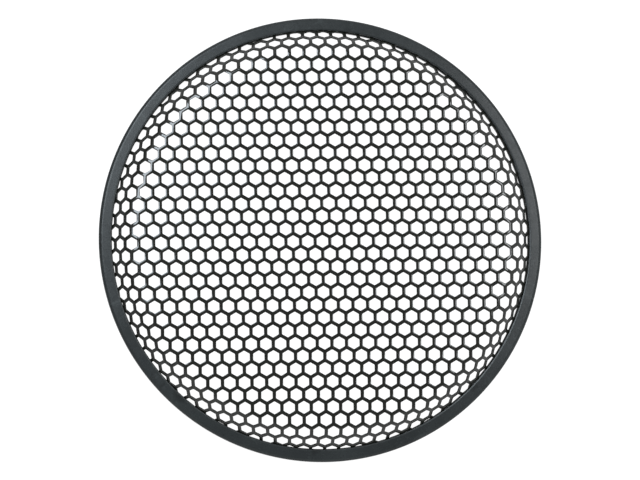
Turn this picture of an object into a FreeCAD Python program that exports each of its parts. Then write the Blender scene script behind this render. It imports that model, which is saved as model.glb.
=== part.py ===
import FreeCAD, Part
import math
import os

# Round honeycomb grid: a steel sheet with hexagonal holes, pressed into a shallow dish, with a
# flat hoop behind its flange and a rubber ring of channel section pushed over both.
#
# The grid lies on its ring with its face up. The origin is on the axis, in the plane that it
# rests on, and the rows of holes run nearly along X. Lengths are in millimetres.

# Sheet and its holes
SHEET = 0.8                 # thickness of the pressed steel sheet
PITCH = 10.0                # from one hole's centre to the next
HOLE_WIDTH = 7.7            # across the flats of a hole
ROW_ANGLE = 1.2             # degrees that the rows of holes are turned from the X axis
PATTERN_X = -1.16           # the hole nearest the axis: its centre, measured along the rows
PATTERN_Y = -2.81           # and across them

# Dish, all at the middle of the sheet's thickness
FACE_RADIUS = 127.3         # where the flat face ends and the shoulder begins
SHOULDER_RADIUS = 11.3      # radius of the rolled shoulder
WALL_ANGLE = 53.0           # degrees that the wall slopes from the horizontal
FOOT_RADIUS = 2.5           # bend between the wall and the flange
DEPTH = 16.1                # height of the face above the flange

# Hoop behind the flange
HOOP = 1.0                  # thickness
HOOP_INNER_RADIUS = 146.4

# Rubber ring
RING_RADIUS = 152.4         # outside of the ring
FRONT_LIP_RADIUS = 144.2    # inside of the lip that lies on the sheet's foot
BACK_LIP_RADIUS = 143.3     # inside of the lip under the hoop
RING_HEIGHT = 7.2
RING_WEB = 2.3              # rubber outside the flange
OUTER_ROUND = 3.0           # rounding of the ring's outer edges
LIP_ROUND = 0.5             # rounding of the lips' edges

# Worked out from the above
FLANGE_RADIUS = RING_RADIUS - RING_WEB
LIP = (RING_HEIGHT - SHEET - HOOP) / 2
HOOP_Z = LIP
FLANGE_Z = HOOP_Z + HOOP
FACE_Z = FLANGE_Z + SHEET / 2 + DEPTH
SLOPE = math.radians(WALL_ANGLE)
WALL_DROP = DEPTH - (SHOULDER_RADIUS + FOOT_RADIUS) * (1 - math.cos(SLOPE))
WALL_LENGTH = WALL_DROP / math.sin(SLOPE)

CENTRE = FreeCAD.Vector(0, 0, 0)
UP = FreeCAD.Vector(0, 0, 1)


def sheet_profile(distance):
    """Radius, height and slope of the sheet's middle, this far from the axis along the sheet."""
    beyond = max(distance - FACE_RADIUS, 0.0)
    turned = min(beyond / SHOULDER_RADIUS, SLOPE)
    radius = min(distance, FACE_RADIUS) + SHOULDER_RADIUS * math.sin(turned)
    height = FACE_Z - SHOULDER_RADIUS * (1 - math.cos(turned))

    beyond -= SHOULDER_RADIUS * turned
    down = min(beyond, WALL_LENGTH)
    radius += down * math.cos(turned)
    height -= down * math.sin(turned)

    beyond -= down
    back = min(beyond / FOOT_RADIUS, SLOPE)
    slope = turned - back
    radius += FOOT_RADIUS * (math.sin(turned) - math.sin(slope))
    height -= FOOT_RADIUS * (math.cos(slope) - math.cos(turned))

    beyond -= FOOT_RADIUS * back
    return radius + beyond, height, slope


def on_dish(x, y):
    """Where a point of the flat, unpressed sheet comes to lie, and the sheet's normal there."""
    distance = math.hypot(x, y)
    radius, height, slope = sheet_profile(distance)
    outward = FreeCAD.Vector(1, 0, 0)
    if distance > 0:
        outward = FreeCAD.Vector(x / distance, y / distance, 0)
    normal = outward * math.sin(slope) + UP * math.cos(slope)
    return outward * radius + UP * height, normal


def skin(offset):
    """Section of one side of the sheet, this far above its middle, from the axis to the rim."""
    bends = [FACE_RADIUS]
    for length in (SHOULDER_RADIUS * SLOPE, WALL_LENGTH, FOOT_RADIUS * SLOPE):
        bends.append(bends[-1] + length)

    def point(distance):
        place, normal = on_dish(distance, 0)
        return place + normal * offset

    shoulder, wall, foot, flange = bends
    rim = FreeCAD.Vector(FLANGE_RADIUS, 0, point(flange).z)
    return [
        Part.makeLine(point(0), point(shoulder)),
        Part.Arc(point(shoulder), point((shoulder + wall) / 2), point(wall)).toShape(),
        Part.makeLine(point(wall), point(foot)),
        Part.Arc(point(foot), point((foot + flange) / 2), point(flange)).toShape(),
        Part.makeLine(point(flange), rim),
    ]


def plain_dish():
    """The pressed sheet without its holes."""
    top = skin(SHEET / 2)
    bottom = skin(-SHEET / 2)
    axis = Part.makeLine(bottom[0].firstVertex().Point, top[0].firstVertex().Point)
    rim = Part.makeLine(bottom[-1].lastVertex().Point, top[-1].lastVertex().Point)
    outline = Part.Wire(Part.sortEdges(top + bottom + [axis, rim])[0])
    return Part.Face(outline).revolve(CENTRE, UP, 360)


def hole_centres():
    """Centres of the holes in the flat sheet, out to the last that the rim cuts into."""
    row_step = PITCH * math.sqrt(3) / 2
    farthest = FLANGE_RADIUS + DEPTH
    rows = int(farthest / row_step) + 1
    columns = int(farthest / PITCH) + 1
    turn = math.radians(ROW_ANGLE)
    for row in range(-rows, rows + 1):
        for column in range(-columns, columns + 1):
            along = PATTERN_X + PITCH * (column + (row % 2) / 2)
            across = PATTERN_Y + row_step * row
            x = along * math.cos(turn) - across * math.sin(turn)
            y = along * math.sin(turn) + across * math.cos(turn)
            radius, _, _ = sheet_profile(math.hypot(x, y))
            if radius < FLANGE_RADIUS + HOLE_WIDTH / 2:
                yield x, y


def hole_cutter(x, y):
    """A hexagonal prism that stands square on the sheet at one hole, a corner pointing along Y."""
    place, normal = on_dish(x, y)
    corner_distance = HOLE_WIDTH / math.sqrt(3)
    outline = []
    deepest = 0.0
    for number in range(6):
        angle = math.radians(30 + 60 * number + ROW_ANGLE)
        corner, _ = on_dish(
            x + corner_distance * math.cos(angle),
            y + corner_distance * math.sin(angle),
        )
        height = (corner - place).dot(normal)
        deepest = max(deepest, abs(height))
        outline.append(corner - normal * height)
    reach = deepest + SHEET
    base = Part.makePolygon([corner - normal * reach for corner in outline + outline[:1]])
    return Part.Face(base).extrude(normal * (2 * reach))


def hex_mesh():
    """The perforated dish. The scraps that its rim cuts loose between two holes drop away."""
    cutters = [hole_cutter(x, y) for x, y in hole_centres()]
    pierced = plain_dish().cut(Part.makeCompound(cutters))
    return max(pierced.Solids, key=lambda solid: solid.Volume)


def washer(inner_radius, outer_radius, z, thickness):
    """A flat ring about the axis, with its underside at height z."""
    corner = FreeCAD.Vector(0, 0, z)
    disc = Part.makeCylinder(outer_radius, thickness, corner)
    return disc.cut(Part.makeCylinder(inner_radius, thickness, corner))


def flange_hoop():
    """The flat hoop under the flange."""
    return washer(HOOP_INNER_RADIUS, FLANGE_RADIUS, HOOP_Z, HOOP)


def edge_ring():
    """The rubber ring: a channel, open to the inside, with the flange and the hoop in it.

    The front lip is pressed onto the foot of the wall, so it's cut to the shape of the sheet.
    """
    ring = washer(BACK_LIP_RADIUS, RING_RADIUS, 0, RING_HEIGHT)
    groove = Part.makeCylinder(FLANGE_RADIUS, HOOP + SHEET, FreeCAD.Vector(0, 0, HOOP_Z))
    mouth = Part.makeCylinder(FRONT_LIP_RADIUS, RING_HEIGHT, FreeCAD.Vector(0, 0, HOOP_Z))
    ring = ring.cut(groove).cut(mouth)

    def circles(radius, heights):
        return [
            edge
            for edge in ring.Edges
            if isinstance(edge.Curve, Part.Circle)
            and abs(edge.Curve.Radius - radius) < 0.01
            and any(abs(edge.Curve.Center.z - height) < 0.01 for height in heights)
        ]

    ring = ring.makeFillet(OUTER_ROUND, circles(RING_RADIUS, [0, RING_HEIGHT]))
    ring = ring.makeFillet(LIP_ROUND, circles(FRONT_LIP_RADIUS, [RING_HEIGHT]))
    ring = ring.makeFillet(LIP_ROUND, circles(BACK_LIP_RADIUS, [0, HOOP_Z]))
    return max(ring.cut(plain_dish()).Solids, key=lambda solid: solid.Volume)


os.makedirs("parts", exist_ok=True)
for name, make in (
    ("hex_mesh", hex_mesh),
    ("flange_hoop", flange_hoop),
    ("edge_ring", edge_ring),
):
    make().exportStep("parts/" + name + ".step")
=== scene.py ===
import math

import bmesh
import bpy
import numpy as np
from mathutils import Euler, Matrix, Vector


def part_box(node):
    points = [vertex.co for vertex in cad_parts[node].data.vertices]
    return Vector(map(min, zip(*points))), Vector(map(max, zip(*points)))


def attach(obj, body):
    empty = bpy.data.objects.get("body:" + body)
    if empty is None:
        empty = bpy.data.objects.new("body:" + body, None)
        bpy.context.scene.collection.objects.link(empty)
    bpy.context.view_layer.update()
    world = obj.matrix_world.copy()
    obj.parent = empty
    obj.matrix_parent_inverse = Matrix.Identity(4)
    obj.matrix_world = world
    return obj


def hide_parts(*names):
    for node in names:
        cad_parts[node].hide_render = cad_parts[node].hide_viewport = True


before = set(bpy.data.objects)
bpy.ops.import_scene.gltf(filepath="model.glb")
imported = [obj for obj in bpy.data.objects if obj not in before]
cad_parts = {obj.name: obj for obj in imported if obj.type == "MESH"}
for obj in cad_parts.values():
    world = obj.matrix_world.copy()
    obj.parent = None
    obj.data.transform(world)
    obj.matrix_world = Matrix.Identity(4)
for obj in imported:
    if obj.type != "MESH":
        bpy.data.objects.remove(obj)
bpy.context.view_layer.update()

MM = 0.001

# Sheet, as in the CAD but for the holes, which are 0.1 mm narrower, after the photograph
SHEET = 0.8 * MM
PITCH = 10.0 * MM
HOLE_WIDTH = 7.6 * MM
ROW_ANGLE = math.radians(1.2)
PATTERN_X = -1.16 * MM
PATTERN_Y = -2.81 * MM
FACE_RADIUS = 127.3 * MM
SHOULDER_RADIUS = 11.3 * MM
WALL_ANGLE = math.radians(53.0)
FOOT_RADIUS = 2.5 * MM

# Back of the rubber ring, as in the CAD
BACK_LIP_RADIUS = 143.3 * MM
LIP_ROUND = 0.5 * MM
OUTER_ROUND = 3.0 * MM

# Front of the rubber ring, up to 0.3 mm off the CAD, after the photograph's highlights
FRONT_LIP_RADIUS = 143.9 * MM       # inside of the front lip
FRONT_ROUND = 2.3 * MM              # rounding of the front's outer edge
FRONT_SLOPE = math.radians(2.0)     # fall of the front towards its outer edge
LIP_SLOPE = math.radians(16.0)      # fall of the slanted stretch towards the lip's inside
LIP_SLANT = 0.6 * MM                # width of that stretch
LIP_CREST = 0.8 * MM                # rounding between the front and that stretch
LIP_EDGE = 0.3 * MM                 # rounding of the lip's inner edge
LIP_GAP = 0.01 * MM                 # clearance between the rubber and the sheet

# Finish of the sheet that only shows close up
HOLE_CORNER = 0.6 * MM              # rounding of a hole's corners
PUNCH_ROUND = 0.12 * MM             # rounding of a hole's upper edge
EASE = 3.0 * MM                     # half the stretch over which the shoulder starts to bend

# Studio: how bright its surfaces are, and the way that its dark side lies. All of it was tuned
# by measuring, until the highlights came close to the photograph's.
DARK_SIDE = (math.cos(math.radians(172)), math.sin(math.radians(172)), 0)
FLOOR_REACH = 4.0
FLOOR_GAP = 0.2 * MM
FLOOR_GLOW = 0.95
FLOOR_MIRRORED = 0.68
FLOOR_MIRRORED_DARK = 0.2
ZENITH = 0.30
SIDES = 1.0
DARK_WALL = 0.25

# Camera, from the fit to the photograph's holes
CAMERA_LENS = 201.87
CAMERA_TILT = math.radians(4.876)
CAMERA_LEAN = math.radians(-6.483)
CAMERA_DISTANCE = 2.440
CAMERA_AIM = Vector((-2.813, -1.927, 20.09)) * MM

# Fineness of the meshes
RING_STEPS = 360
SHARP_ANGLE = math.radians(50)      # edges that bend more than this stay sharp
WELD = 0.002 * MM                   # corners nearer than this become one

# Places read from the frame
ring_low, ring_high = (Vector(c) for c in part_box("edge_ring"))
hoop_low, hoop_high = (Vector(c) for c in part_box("flange_hoop"))
mesh_high = Vector(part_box("hex_mesh")[1])
RING_RADIUS = (ring_high.x - ring_low.x) / 2
RING_HEIGHT = ring_high.z
FLANGE_RADIUS = (hoop_high.x - hoop_low.x) / 2
FLANGE_Z = hoop_high.z
FACE_Z = mesh_high.z - SHEET / 2
DEPTH = FACE_Z - FLANGE_Z - SHEET / 2
EASE_DROP = EASE ** 2 / (6 * SHOULDER_RADIUS)
WALL_DROP = DEPTH - EASE_DROP - (SHOULDER_RADIUS + FOOT_RADIUS) * (1 - math.cos(WALL_ANGLE))
WALL_LENGTH = WALL_DROP / math.sin(WALL_ANGLE)
FLANGE_START = FACE_RADIUS + (SHOULDER_RADIUS + FOOT_RADIUS) * WALL_ANGLE + WALL_LENGTH


def press(x, y, lift):
    """Where points of the flat sheet, lifted off its middle, lie on the pressed dish."""
    distance = np.hypot(x, y)
    left = np.maximum(distance - FACE_RADIUS, 0)
    turned = np.minimum(left / SHOULDER_RADIUS, WALL_ANGLE)
    radius = np.minimum(distance, FACE_RADIUS) + SHOULDER_RADIUS * np.sin(turned)
    height = FACE_Z - SHOULDER_RADIUS * (1 - np.cos(turned))
    near = np.clip((distance - FACE_RADIUS) / EASE, -1, 1)
    soft = 1 - np.abs(near)
    height = height - EASE_DROP / 2 * np.where(near < 0, soft ** 3, 2 - soft ** 3)
    left = np.maximum(left - SHOULDER_RADIUS * WALL_ANGLE, 0)
    down = np.minimum(left, WALL_LENGTH)
    radius = radius + down * math.cos(WALL_ANGLE)
    height = height - down * math.sin(WALL_ANGLE)
    left = np.maximum(left - WALL_LENGTH, 0)
    back = np.minimum(left / FOOT_RADIUS, WALL_ANGLE)
    slope = turned - back
    radius = radius + FOOT_RADIUS * (np.sin(turned) - np.sin(slope))
    height = height - FOOT_RADIUS * (np.cos(slope) - np.cos(turned))
    radius = radius + np.maximum(left - FOOT_RADIUS * WALL_ANGLE, 0)
    slope = slope + EASE / (4 * SHOULDER_RADIUS) * soft ** 2
    radius = radius + lift * np.sin(slope)
    height = height + lift * np.cos(slope)
    scale = radius / np.maximum(distance, 1e-9)
    return np.stack([x * scale, y * scale, height], axis=-1)


def hexagon(width, corner_round, extras):
    """Outline of a hexagon with a corner along Y: three points round each corner, and extra
    points on each side.
    """
    points = []
    across = width / 2 - corner_round
    for number in range(6):
        angle = math.radians(30 + 60 * number)
        centre = across / math.cos(math.radians(30))
        for turn in (-30, 0, 30):
            arc = angle + math.radians(turn)
            points.append(
                (
                    centre * math.cos(angle) + corner_round * math.cos(arc),
                    centre * math.sin(angle) + corner_round * math.sin(arc),
                )
            )
        points += [None] * extras[number]
    return fill_gaps(points)


def fill_gaps(points):
    """Replaces each run of None by points spaced evenly between its neighbours."""
    total = len(points)
    filled = list(points)
    for index, point in enumerate(points):
        if point is not None:
            continue
        before = index
        while points[before] is None:
            before -= 1
        after = index
        while points[after % total] is None:
            after += 1
        share = (index - before) / (after - before)
        start, end = points[before], points[after % total]
        filled[index] = tuple(a + (b - a) * share for a, b in zip(start, end))
    return filled


def cell_outline(extras):
    """The border that a hole's cell shares with its neighbours, with a point for each point of
    the hole.
    """
    points = []
    corner = PITCH / math.sqrt(3)
    inset = (HOLE_CORNER + (PITCH - HOLE_WIDTH) / 2) * math.tan(math.radians(30)) / corner
    for number in range(6):
        here, back, on = (math.radians(30 + 60 * (number + step)) for step in (0, -1, 1))
        for other, share in ((back, inset), (here, 0.0), (on, inset)):
            points.append(
                (
                    corner * (math.cos(here) * (1 - share) + math.cos(other) * share),
                    corner * (math.sin(here) * (1 - share) + math.sin(other) * share),
                )
            )
        points += [None] * extras[number]
    return fill_gaps(points)


def cell_rings(extras):
    """A cell's rings of points from the border on top, through the hole, to the border underneath."""
    half = SHEET / 2
    soft = PUNCH_ROUND * (1 - math.sqrt(0.5))
    rings = [(cell_outline(extras), half)]
    for out, lift in (
        (PUNCH_ROUND, half),
        (soft, half - soft),
        (0.0, half - PUNCH_ROUND),
        (0.0, -half),
    ):
        rings.append((hexagon(HOLE_WIDTH + 2 * out, HOLE_CORNER + out, extras), lift))
    rings.append((cell_outline(extras), -half))
    return rings


def rim_distance():
    """Distance along the flat sheet to the flange's edge."""
    start = FACE_RADIUS + (SHOULDER_RADIUS + FOOT_RADIUS) * math.sin(WALL_ANGLE)
    start += WALL_LENGTH * math.cos(WALL_ANGLE)
    return FLANGE_START + FLANGE_RADIUS - start


def side_points(x, y, number):
    """Extra points for one side of a cell: none where the sheet is flat, more where it bends."""
    angle = math.radians(60 + 60 * number)
    side_x = x + PITCH / 2 * math.cos(angle)
    side_y = y + PITCH / 2 * math.sin(angle)
    distance = math.hypot(side_x, side_y)
    reach = PITCH / 4
    shoulder_end = FACE_RADIUS + SHOULDER_RADIUS * WALL_ANGLE
    if distance < FACE_RADIUS - reach:
        return 0
    if distance < shoulder_end + reach:
        return 2
    if distance < FLANGE_START - FOOT_RADIUS * WALL_ANGLE - reach:
        return 0
    return 3


def cell_centres(limit):
    """Centres of the holes in the flat sheet, before the rows are turned."""
    row_step = PITCH * math.sqrt(3) / 2
    rows = int(limit / row_step) + 2
    columns = int(limit / PITCH) + 2
    for row in range(-rows, rows + 1):
        for column in range(-columns, columns + 1):
            x = PATTERN_X + PITCH * (column + (row % 2) / 2)
            y = PATTERN_Y + row_step * row
            if math.hypot(x, y) < limit + PITCH / math.sqrt(3):
                yield x, y


def build_hex_mesh():
    """The pressed sheet, built cell by cell when flat and then bent into the dish."""
    limit = rim_distance()
    corners = []
    faces = []
    for x, y in cell_centres(limit):
        extras = [side_points(x, y, number) for number in range(6)]
        rings = cell_rings(extras)
        count = len(rings[0][0])
        first = len(corners)
        for outline, lift in rings:
            corners += [(x + px, y + py, lift) for px, py in outline]
        for level in range(len(rings) - 1):
            low = first + level * count
            for index in range(count):
                after = (index + 1) % count
                faces.append((low + index, low + after, low + count + after, low + count + index))
    flat = np.array(corners)
    distance = np.hypot(flat[:, 0], flat[:, 1])
    outside = distance > limit - 1e-7
    flat[:, :2] *= np.where(outside, limit / np.maximum(distance, 1e-9), 1.0)[:, None]
    faces = [f for f in faces if not all(outside[v] for v in f)]
    turn = np.array(
        [
            [math.cos(ROW_ANGLE), math.sin(ROW_ANGLE)],
            [-math.sin(ROW_ANGLE), math.cos(ROW_ANGLE)],
        ]
    )
    flat[:, :2] = flat[:, :2] @ turn
    pressed = press(flat[:, 0], flat[:, 1], flat[:, 2])

    mesh = bpy.data.meshes.new("hex_mesh_sheet")
    mesh.from_pydata(pressed.tolist(), [], faces)
    bm = bmesh.new()
    bm.from_mesh(mesh)
    bmesh.ops.remove_doubles(bm, verts=bm.verts, dist=WELD)
    bmesh.ops.dissolve_degenerate(bm, edges=bm.edges, dist=1e-7)
    loose = [v for v in bm.verts if not v.link_faces]
    bmesh.ops.delete(bm, geom=loose, context="VERTS")
    drop_scraps(bm)
    rim = [e for e in bm.edges if e.is_boundary]
    bmesh.ops.holes_fill(bm, edges=rim, sides=0)
    bmesh.ops.recalc_face_normals(bm, faces=bm.faces)
    bm.to_mesh(mesh)
    bm.free()
    mesh.polygons.foreach_set("use_smooth", [True] * len(mesh.polygons))
    mesh.set_sharp_from_angle(angle=SHARP_ANGLE)
    piece = bpy.data.objects.new("hex_mesh_sheet", mesh)
    bpy.context.scene.collection.objects.link(piece)
    return piece


def drop_scraps(bm):
    """Deletes the bits that the rim cuts loose between two holes, and keeps the largest part."""
    bm.verts.ensure_lookup_table()
    seen = set()
    groups = []
    for start in bm.verts:
        if start in seen:
            continue
        group = {start}
        edge_of_group = [start]
        while edge_of_group:
            vert = edge_of_group.pop()
            for edge in vert.link_edges:
                other = edge.other_vert(vert)
                if other not in group:
                    group.add(other)
                    edge_of_group.append(other)
        seen |= group
        groups.append(group)
    largest = max(groups, key=len)
    scraps = [v for group in groups if group is not largest for v in group]
    bmesh.ops.delete(bm, geom=scraps, context="VERTS")


def arc(centre_r, centre_z, radius, start, end, steps):
    """Points of a round corner of a section, from one angle to another in degrees."""
    points = []
    for step in range(steps + 1):
        angle = math.radians(start + (end - start) * step / steps)
        points.append((centre_r + radius * math.cos(angle), centre_z + radius * math.sin(angle)))
    return points


def along(start, end, steps):
    """Points between two corners of a section, without its ends."""
    return [
        tuple(a + (b - a) * step / steps for a, b in zip(start, end)) for step in range(1, steps)
    ]


def foot_line(start_radius, steps):
    """Points of a section along the sheet's front, from a radius out to the flange."""
    span = np.linspace(FLANGE_START - 4 * FOOT_RADIUS, FLANGE_START, 400)
    line = press(span, np.zeros_like(span), SHEET / 2 + LIP_GAP)
    radii = np.linspace(start_radius, line[-1, 0], steps)
    return list(zip(radii.tolist(), np.interp(radii, line[:, 0], line[:, 2]).tolist()))


def ring_section():
    """Section of the rubber ring, counterclockwise with radius across and height up."""
    outer = RING_RADIUS
    groove_low, groove_high = hoop_low.z, FLANGE_Z + SHEET
    fall = 90 - math.degrees(FRONT_SLOPE)
    slant = 90 + math.degrees(LIP_SLOPE)
    slant_start = FRONT_LIP_RADIUS + LIP_EDGE * (1 - math.sin(LIP_SLOPE))
    crest_r = slant_start + LIP_SLANT + LIP_CREST * math.sin(LIP_SLOPE)
    front_lip = arc(crest_r, RING_HEIGHT - LIP_CREST, LIP_CREST, fall, slant, 5)
    edge_z = front_lip[-1][1] - LIP_SLANT * math.tan(LIP_SLOPE) - LIP_EDGE * math.cos(LIP_SLOPE)
    front_lip += arc(FRONT_LIP_RADIUS + LIP_EDGE, edge_z, LIP_EDGE, slant, 180, 5)
    outer_edge = outer - FRONT_ROUND * (1 - math.sin(FRONT_SLOPE))
    top_z = front_lip[0][1] - (outer_edge - front_lip[0][0]) * math.tan(FRONT_SLOPE)
    top_z -= FRONT_ROUND * math.cos(FRONT_SLOPE)
    top = arc(outer - FRONT_ROUND, top_z, FRONT_ROUND, 0, fall, 12)
    bottom = arc(outer - OUTER_ROUND, OUTER_ROUND, OUTER_ROUND, -90, 0, 12)
    front_lip += foot_line(FRONT_LIP_RADIUS, 8)
    back_lip = arc(BACK_LIP_RADIUS + LIP_ROUND, groove_low - LIP_ROUND, LIP_ROUND, 90, 180, 5)
    back_lip += arc(BACK_LIP_RADIUS + LIP_ROUND, LIP_ROUND, LIP_ROUND, 180, 270, 5)
    section = bottom + along(bottom[-1], top[0], 3) + top
    section += along(top[-1], front_lip[0], 8) + front_lip
    section += [(FLANGE_RADIUS, groove_high + LIP_GAP), (FLANGE_RADIUS, groove_low)]
    section += back_lip + along(back_lip[-1], bottom[0], 6)
    return section


def build_edge_ring():
    """The rubber ring, turned from its section."""
    steps = RING_STEPS
    section = ring_section()
    verts = []
    for step in range(steps):
        angle = 2 * math.pi * step / steps
        for radius, height in section:
            verts.append((radius * math.cos(angle), radius * math.sin(angle), height))
    count = len(section)
    faces = []
    for step in range(steps):
        after = (step + 1) % steps
        for index in range(count):
            on = (index + 1) % count
            faces.append(
                (step * count + index, after * count + index, after * count + on, step * count + on)
            )
    mesh = bpy.data.meshes.new("edge_ring_rubber")
    mesh.from_pydata(verts, [], faces)
    mesh.polygons.foreach_set("use_smooth", [True] * len(mesh.polygons))
    mesh.set_sharp_from_angle(angle=SHARP_ANGLE)
    piece = bpy.data.objects.new("edge_ring_rubber", mesh)
    bpy.context.scene.collection.objects.link(piece)
    return piece


class Nodes:
    """A node tree, with short calls for adding and joining nodes."""

    def __init__(self, tree):
        self.tree = tree
        self.coordinates = self.add("ShaderNodeTexCoord").outputs

    def add(self, kind, **values):
        node = self.tree.nodes.new(kind)
        for name, value in values.items():
            setattr(node, name, value)
        return node

    def join(self, source, target):
        self.tree.links.new(source, target)

    def noise(self, scale, detail=2.0, rough=0.5, warp=0.0):
        node = self.add("ShaderNodeTexNoise")
        node.inputs["Scale"].default_value = scale
        node.inputs["Detail"].default_value = detail
        node.inputs["Roughness"].default_value = rough
        node.inputs["Distortion"].default_value = warp
        self.join(self.place, node.inputs["Vector"])
        return node.outputs["Fac"]

    def ramp(self, source, stops):
        node = self.add("ShaderNodeValToRGB")
        first, last = node.color_ramp.elements
        first.position, last.position = stops[0][0], stops[-1][0]
        for element, (_, colour) in ((first, stops[0]), (last, stops[-1])):
            element.color = (*colour, 1) if isinstance(colour, tuple) else (colour,) * 3 + (1,)
        for position, colour in stops[1:-1]:
            element = node.color_ramp.elements.new(position)
            element.color = (*colour, 1) if isinstance(colour, tuple) else (colour,) * 3 + (1,)
        self.join(source, node.inputs["Fac"])
        return node.outputs["Color"]

    def mix(self, kind, share, first, second):
        node = self.add("ShaderNodeMix", data_type="RGBA", blend_type=kind)
        for name, value in ((0, share), (6, first), (7, second)):
            if isinstance(value, (float, tuple)):
                node.inputs[name].default_value = value
            else:
                self.join(value, node.inputs[name])
        return node.outputs[2]

    def maths(self, operation, first, second):
        node = self.add("ShaderNodeMath", operation=operation)
        for slot, value in zip(node.inputs, (first, second)):
            if isinstance(value, (int, float)):
                slot.default_value = value
            else:
                self.join(value, slot)
        return node.outputs[0]

    def span(self, source, start, end, low, high):
        """Runs smoothly from one value to another while the source runs from start to end."""
        node = self.add("ShaderNodeMapRange", interpolation_type="SMOOTHSTEP")
        self.join(source, node.inputs["Value"])
        for name, value in (
            ("From Min", start),
            ("From Max", end),
            ("To Min", low),
            ("To Max", high),
        ):
            node.inputs[name].default_value = value
        return node.outputs["Result"]

    def bump(self, source, strength, distance, normal=None):
        node = self.add("ShaderNodeBump")
        node.inputs["Strength"].default_value = strength
        node.inputs["Distance"].default_value = distance
        self.join(source, node.inputs["Height"])
        if normal is not None:
            self.join(normal, node.inputs["Normal"])
        return node.outputs["Normal"]


class Surface(Nodes):
    """The nodes of one new material."""

    def __init__(self, name):
        self.material = bpy.data.materials.new(name)
        self.material.use_nodes = True
        super().__init__(self.material.node_tree)
        self.shader = self.tree.nodes["Principled BSDF"]
        self.place = self.coordinates["Object"]


def slate_rubber():
    """Matt dark slate rubber with dusty smudges, a fine grain and a few nicks."""
    n = Surface("slate_rubber")
    dark, light, dusty = (0.0175, 0.0203, 0.0210), (0.0235, 0.0270, 0.0278), (0.040, 0.046, 0.047, 1)
    clouds = n.ramp(n.noise(26, 3, 0.55), [(0.35, dark), (0.70, light)])
    dust = n.ramp(n.noise(120, 5, 0.7, 0.6), [(0.56, 0.0), (0.80, 1.0)])
    scuffs = n.ramp(n.noise(75, 3, 0.6, 0.4), [(0.58, 1.0), (0.70, 0.62)])
    base = n.mix("MULTIPLY", 1.0, n.mix("MIX", dust, clouds, dusty), scuffs)
    n.join(base, n.shader.inputs["Base Color"])
    n.shader.inputs["Specular IOR Level"].default_value = 0.22
    n.join(n.ramp(n.noise(210, 4, 0.6), [(0.3, 0.24), (0.7, 0.30)]), n.shader.inputs["Roughness"])
    grain = n.bump(n.noise(5200, 2, 0.6), 0.06, 0.00004)
    n.join(n.bump(n.noise(420, 3, 0.6), 0.06, 0.00010, grain), n.shader.inputs["Normal"])
    return n.material


def black_paint():
    """Satin black powder coat with a slight orange peel."""
    n = Surface("black_paint")
    dark, light = (0.0052, 0.0056, 0.0040), (0.0085, 0.0090, 0.0068)
    tint = n.ramp(n.noise(70, 3, 0.5), [(0.3, dark), (0.7, light)])
    n.join(tint, n.shader.inputs["Base Color"])
    n.join(n.ramp(n.noise(300, 3, 0.6), [(0.3, 0.09), (0.7, 0.13)]), n.shader.inputs["Roughness"])
    n.join(n.bump(n.noise(900, 3, 0.5), 0.03, 0.00003), n.shader.inputs["Normal"])
    return n.material


def zinc_plate():
    """Bright zinc plating with a cloudy bloom."""
    n = Surface("zinc_plate")
    n.shader.inputs["Metallic"].default_value = 1.0
    dull, bright = (0.42, 0.43, 0.45), (0.60, 0.61, 0.62)
    bloom = n.ramp(n.noise(160, 4, 0.6), [(0.3, dull), (0.7, bright)])
    n.join(bloom, n.shader.inputs["Base Color"])
    n.join(n.ramp(n.noise(500, 3, 0.6), [(0.3, 0.28), (0.7, 0.45)]), n.shader.inputs["Roughness"])
    return n.material


def dress(piece, material):
    """Gives a piece one material."""
    piece.data.materials.clear()
    piece.data.materials.append(material)


def pale_floor():
    """A plain pale floor that glows like a light table, and less so in reflections on the left."""
    mesh = bpy.data.meshes.new("floor")
    reach = FLOOR_REACH
    corners = [(-reach, -reach, 0), (reach, -reach, 0), (reach, reach, 0), (-reach, reach, 0)]
    mesh.from_pydata(corners, [], [(0, 1, 2, 3)])
    floor = bpy.data.objects.new("floor", mesh)
    floor.location.z = -FLOOR_GAP
    bpy.context.scene.collection.objects.link(floor)
    n = Surface("floor_white")
    n.shader.inputs["Base Color"].default_value = (0.20, 0.20, 0.20, 1)
    n.shader.inputs["Roughness"].default_value = 0.9
    n.shader.inputs["Specular IOR Level"].default_value = 0.0
    n.shader.inputs["Emission Color"].default_value = (1, 1, 1, 1)
    path = n.add("ShaderNodeLightPath")
    side = n.add("ShaderNodeVectorMath", operation="DOT_PRODUCT")
    n.join(n.place, side.inputs[0])
    side.inputs[1].default_value = DARK_SIDE
    shade = n.span(side.outputs["Value"], 0.13, 0.18, FLOOR_MIRRORED, FLOOR_MIRRORED_DARK)
    seen = n.maths("MULTIPLY", path.outputs["Is Camera Ray"], FLOOR_GLOW)
    mirrored = n.maths("MULTIPLY", path.outputs["Is Glossy Ray"], shade)
    n.join(n.maths("ADD", seen, mirrored), n.shader.inputs["Emission Strength"])
    dress(floor, n.material)


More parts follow.
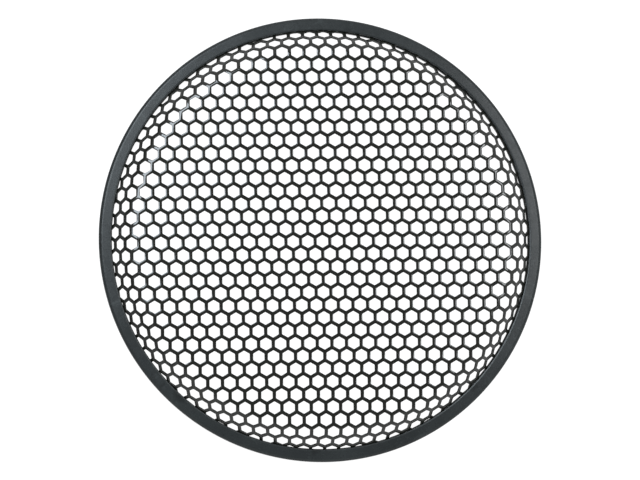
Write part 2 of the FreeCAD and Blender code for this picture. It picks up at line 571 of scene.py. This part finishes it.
def studio():
    """White studio walls, dimmer overhead and dark on one side."""
    world = bpy.data.worlds.new("studio")
    bpy.context.scene.world = world
    world.use_nodes = True
    n = Nodes(world.node_tree)
    way = n.coordinates["Generated"]
    split = n.add("ShaderNodeSeparateXYZ")
    n.join(way, split.inputs[0])
    walls = n.span(split.outputs["Z"], 0.96, 0.75, ZENITH, SIDES)
    side = n.add("ShaderNodeVectorMath", operation="DOT_PRODUCT")
    n.join(way, side.inputs[0])
    side.inputs[1].default_value = DARK_SIDE
    shade = n.span(side.outputs["Value"], 0.50, 0.85, 1.0, DARK_WALL)
    n.join(n.maths("MULTIPLY", walls, shade), world.node_tree.nodes["Background"].inputs["Strength"])
    world.node_tree.nodes["Background"].inputs["Color"].default_value = (0.97, 0.99, 1.0, 1)


def strip_light(name, place, turn, width, length, power, colour):
    """A soft light overhead that points straight down, its length turned this far from Y."""
    lamp = bpy.data.lights.new(name, "AREA")
    lamp.shape = "RECTANGLE"
    lamp.size = width
    lamp.size_y = length
    lamp.energy = power
    lamp.color = colour
    box = bpy.data.objects.new(name, lamp)
    box.location = place
    box.rotation_euler.z = math.radians(turn)
    bpy.context.scene.collection.objects.link(box)


def camera():
    """Looks almost straight down, from a little to the left and below."""
    data = bpy.data.cameras.new("camera")
    data.sensor_width = 36.0
    data.lens = CAMERA_LENS
    eye = bpy.data.objects.new("camera", data)
    tilt = Euler((CAMERA_TILT, 0, 0)).to_matrix()
    lean = Euler((0, CAMERA_LEAN, 0)).to_matrix()
    turn = lean @ tilt
    eye.location = CAMERA_AIM + turn @ Vector((0, 0, CAMERA_DISTANCE))
    eye.rotation_euler = turn.to_euler()
    bpy.context.scene.collection.objects.link(eye)
    bpy.context.scene.camera = eye


sheet = build_hex_mesh()
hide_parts("hex_mesh")
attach(sheet, "root")
dress(sheet, black_paint())

rubber = build_edge_ring()
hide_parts("edge_ring")
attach(rubber, "root")
dress(rubber, slate_rubber())

dress(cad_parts["flange_hoop"], zinc_plate())

pale_floor()
studio()
strip_light("left_light", (-0.363, 0.340, 1.02), -28, 0.46, 0.48, 9.2, (0.84, 0.93, 1.0))
strip_light("right_light", (0.45, 0.185, 1.02), 11, 0.16, 0.40, 2.4, (0.95, 0.98, 1.0))
bpy.context.scene.view_settings.view_transform = "Standard"
camera()
